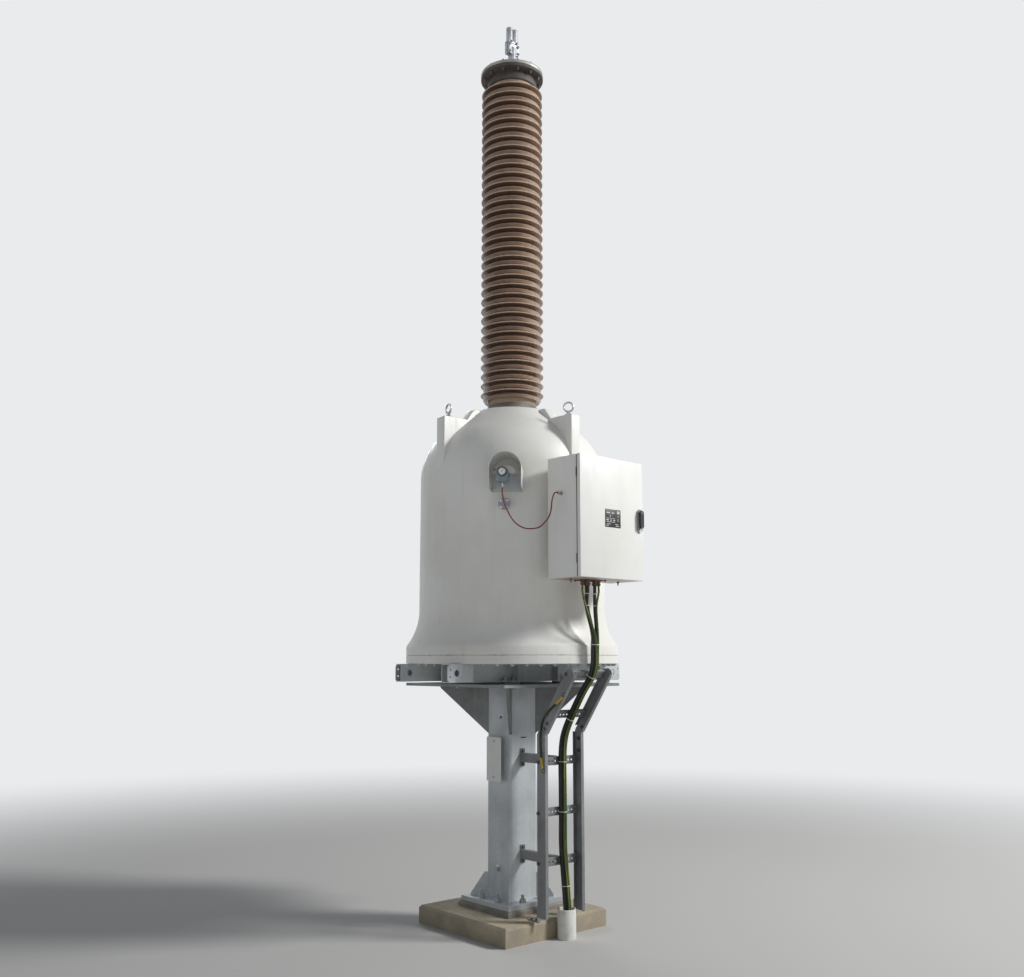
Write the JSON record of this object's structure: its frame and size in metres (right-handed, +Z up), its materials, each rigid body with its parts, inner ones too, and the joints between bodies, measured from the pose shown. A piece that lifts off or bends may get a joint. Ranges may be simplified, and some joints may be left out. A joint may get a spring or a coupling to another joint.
{
  "type": "gas-insulated high-voltage transformer pole",
  "caption": "Bell-shaped pressure tank with a tall brown porcelain bushing, a hinged terminal cabinet and a hooded gas gauge, on a square steel post with a cable ladder and a concrete plinth.",
  "frame": {"origin": "middle of the plinth's underside, on the tank's axis", "axes": "+Z up along the bushing, -Y towards the cabinet door, -X towards the phase plate"},
  "size_m": [1.62, 1.7889, 6.7129],
  "materials": {
    "concrete": "cast concrete, weathered",
    "grout": "trowelled mortar",
    "galvanised_steel": "dull hot-dip zinc",
    "tank_paint": "satin off-white paint, weathered",
    "cast_grey": "dark machined casting",
    "brown_glaze": "brown glaze under dust",
    "cap_aluminium": "dull cast aluminium",
    "clamp_aluminium": "bare cast aluminium",
    "gauge_paint": "blue-grey paint",
    "dial_white": "white dial under glass",
    "gland_brass": "nickel-plated brass",
    "stainless": "stainless fittings",
    "gasket_rubber": "black sealing rubber",
    "handle_black": "black moulded plastic",
    "plate_dark": "etched dark plate",
    "plate_pale": "plain pale plate",
    "cable_black": "black cable sheath",
    "lead_red": "dark red sheath",
    "conduit_white": "white duct"
  },
  "bodies": {
    "unit": {"plinth": "concrete", "grout_pad": "grout", "base_plate": "galvanised_steel", "foot_gussets": "galvanised_steel", "post": "galvanised_steel", "head_gussets": "galvanised_steel", "head_plate": "galvanised_steel", "frame_packers": "galvanised_steel", "frame_channels": "galvanised_steel", "frame_end_plates": "galvanised_steel", "tank_base": "tank_paint", "tank_bell": "tank_paint", "lifting_eyes": "galvanised_steel", "bushing_flange": "cast_grey", "porcelain": "brown_glaze", "bushing_neck": "cast_grey", "bushing_cap": "cap_aluminium", "terminal_stem": "clamp_aluminium", "line_clamp": "clamp_aluminium", "clamp_sleeves": "clamp_aluminium", "clamp_keeper": "clamp_aluminium", "gauge_hood": "tank_paint", "gauge_housing": "gauge_paint", "gauge_dial": "dial_white", "gauge_gland": "gland_brass", "gauge_pipe": "stainless", "blank_flange": "tank_paint", "cabinet_body": "tank_paint", "cabinet_gasket": "gasket_rubber", "cabinet_brackets": "tank_paint", "gland_plate": "stainless", "cable_glands": "gland_brass", "cabinet_hinges": "stainless", "ladder_rails": "galvanised_steel", "upper_rails": "galvanised_steel", "ladder_rungs": "galvanised_steel", "ladder_splices": "galvanised_steel", "ladder_brackets": "galvanised_steel", "control_cables": "cable_black", "earth_link": "cable_black", "phase_plate": "plate_pale", "conduit_stub": "conduit_white", "gauge_lead": "lead_red"},
    "door": {"cabinet_door": "tank_paint", "door_hinges": "stainless", "nameplate": "plate_dark", "handle_base": "plate_dark"},
    "handle": {"handle_lever": "handle_black"}
  },
  "joints": [
    {"name": "door_hinge", "type": "hinge", "parent": "unit", "child": "door", "pos_m": [-0.302, -0.969, 2.73655], "axis": [0, 0, -1], "range_deg": [0, 110]},
    {"name": "handle_turn", "type": "hinge", "parent": "door", "child": "handle", "pos_m": [0.263, -1.001, 2.79055], "axis": [0, 1, 0], "range_deg": [0, 90]}
  ]
}
